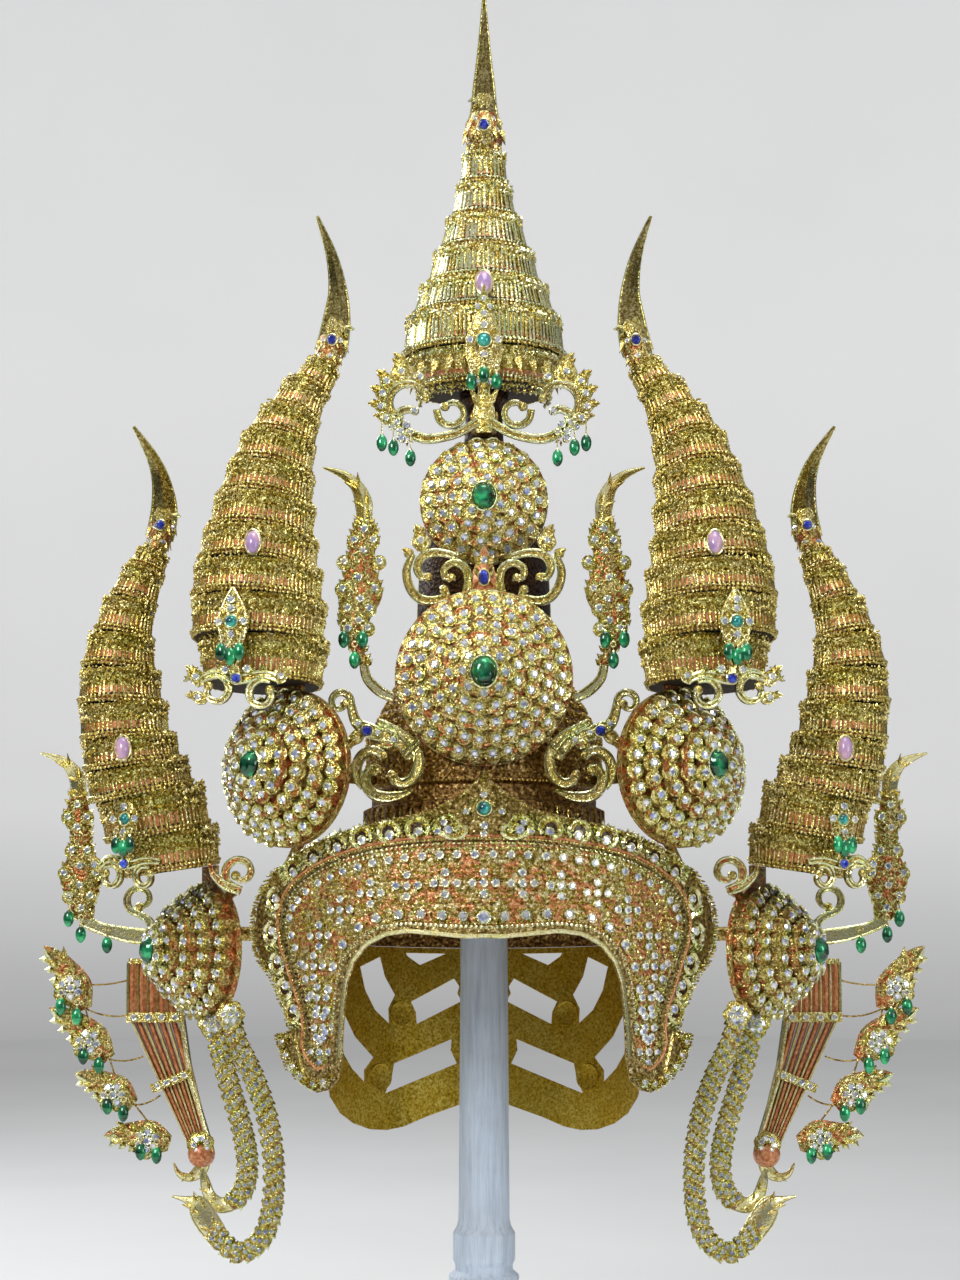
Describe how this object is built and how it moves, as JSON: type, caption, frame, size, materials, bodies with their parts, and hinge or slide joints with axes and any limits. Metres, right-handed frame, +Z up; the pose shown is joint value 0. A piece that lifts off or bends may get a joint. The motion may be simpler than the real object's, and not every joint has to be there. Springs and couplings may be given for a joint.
{
  "type": "ceremonial thai crown on a turned display stand",
  "caption": "Tiered gilt headdress with a tall centre spire, side spires, a jewelled brow band and hanging strands, resting on a turned post stand.",
  "frame": {"origin": "on the floor, under the middle of the stand's foot", "axes": "+Z up along the post, front of the crown towards -Y, the crown's right side as seen from the front towards +X"},
  "size_m": [0.5082, 0.2341, 0.8683],
  "materials": {
    "painted_post": "grey-blue paint over turned wood, half gloss",
    "aged_gold": "dark aged gilding, satin",
    "gold_leaf": "pale lime-tinted gold leaf, satin",
    "polished_gold": "polished gold",
    "bright_gold": "plain yellow gold leaf, satin",
    "green_stone": "polished green glass",
    "clear_stone": "cut clear glass with a bluish sparkle",
    "pink_opal": "milky pink-lavender glass",
    "blue_stone": "polished blue glass",
    "teal_stone": "polished teal glass"
  },
  "bodies": {
    "root": {"stand": "painted_post", "crown_body": "aged_gold", "brow_band": "gold_leaf", "neck_guard": "bright_gold", "centre_spire": "gold_leaf", "centre_finial": "polished_gold", "upper_scrolls": "gold_leaf", "middle_scrolls": "gold_leaf", "upper_rosette": "gold_leaf", "lower_rosette": "gold_leaf", "mid_rosette_l": "gold_leaf", "mid_rosette_r": "gold_leaf", "mid_spire_l": "gold_leaf", "mid_spire_r": "gold_leaf", "mid_finial_l": "polished_gold", "mid_finial_r": "polished_gold", "mid_scrolls_l": "gold_leaf", "mid_scrolls_r": "gold_leaf", "outer_rosette_l": "gold_leaf", "outer_rosette_r": "gold_leaf", "outer_spire_l": "gold_leaf", "outer_spire_r": "gold_leaf", "outer_finial_l": "polished_gold", "outer_finial_r": "polished_gold", "outer_scrolls_l": "gold_leaf", "outer_scrolls_r": "gold_leaf", "link_scroll_l": "gold_leaf", "link_scroll_r": "gold_leaf", "side_arm_l": "aged_gold", "side_arm_r": "aged_gold", "inner_horn_l": "gold_leaf", "inner_horn_r": "gold_leaf", "outer_horn_l": "gold_leaf", "outer_horn_r": "gold_leaf", "ribbed_pendant_l": "gold_leaf", "ribbed_pendant_r": "gold_leaf", "strand_front_l": "gold_leaf", "strand_front_r": "gold_leaf", "strand_back_l": "gold_leaf", "strand_back_r": "gold_leaf", "flame_chain_l": "gold_leaf", "flame_chain_r": "gold_leaf", "upper_stone": "green_stone", "lower_stone": "green_stone", "mid_stone_l": "green_stone", "mid_stone_r": "green_stone", "outer_stone_l": "green_stone", "outer_stone_r": "green_stone", "centre_clear_stones": "clear_stone", "side_clear_stones_l": "clear_stone", "side_clear_stones_r": "clear_stone", "brow_clear_stones": "clear_stone", "opals": "pink_opal", "blue_stones": "blue_stone", "teal_stones": "teal_stone", "centre_drops": "green_stone", "side_drops_l": "green_stone", "side_drops_r": "green_stone"}
  },
  "joints": []
}
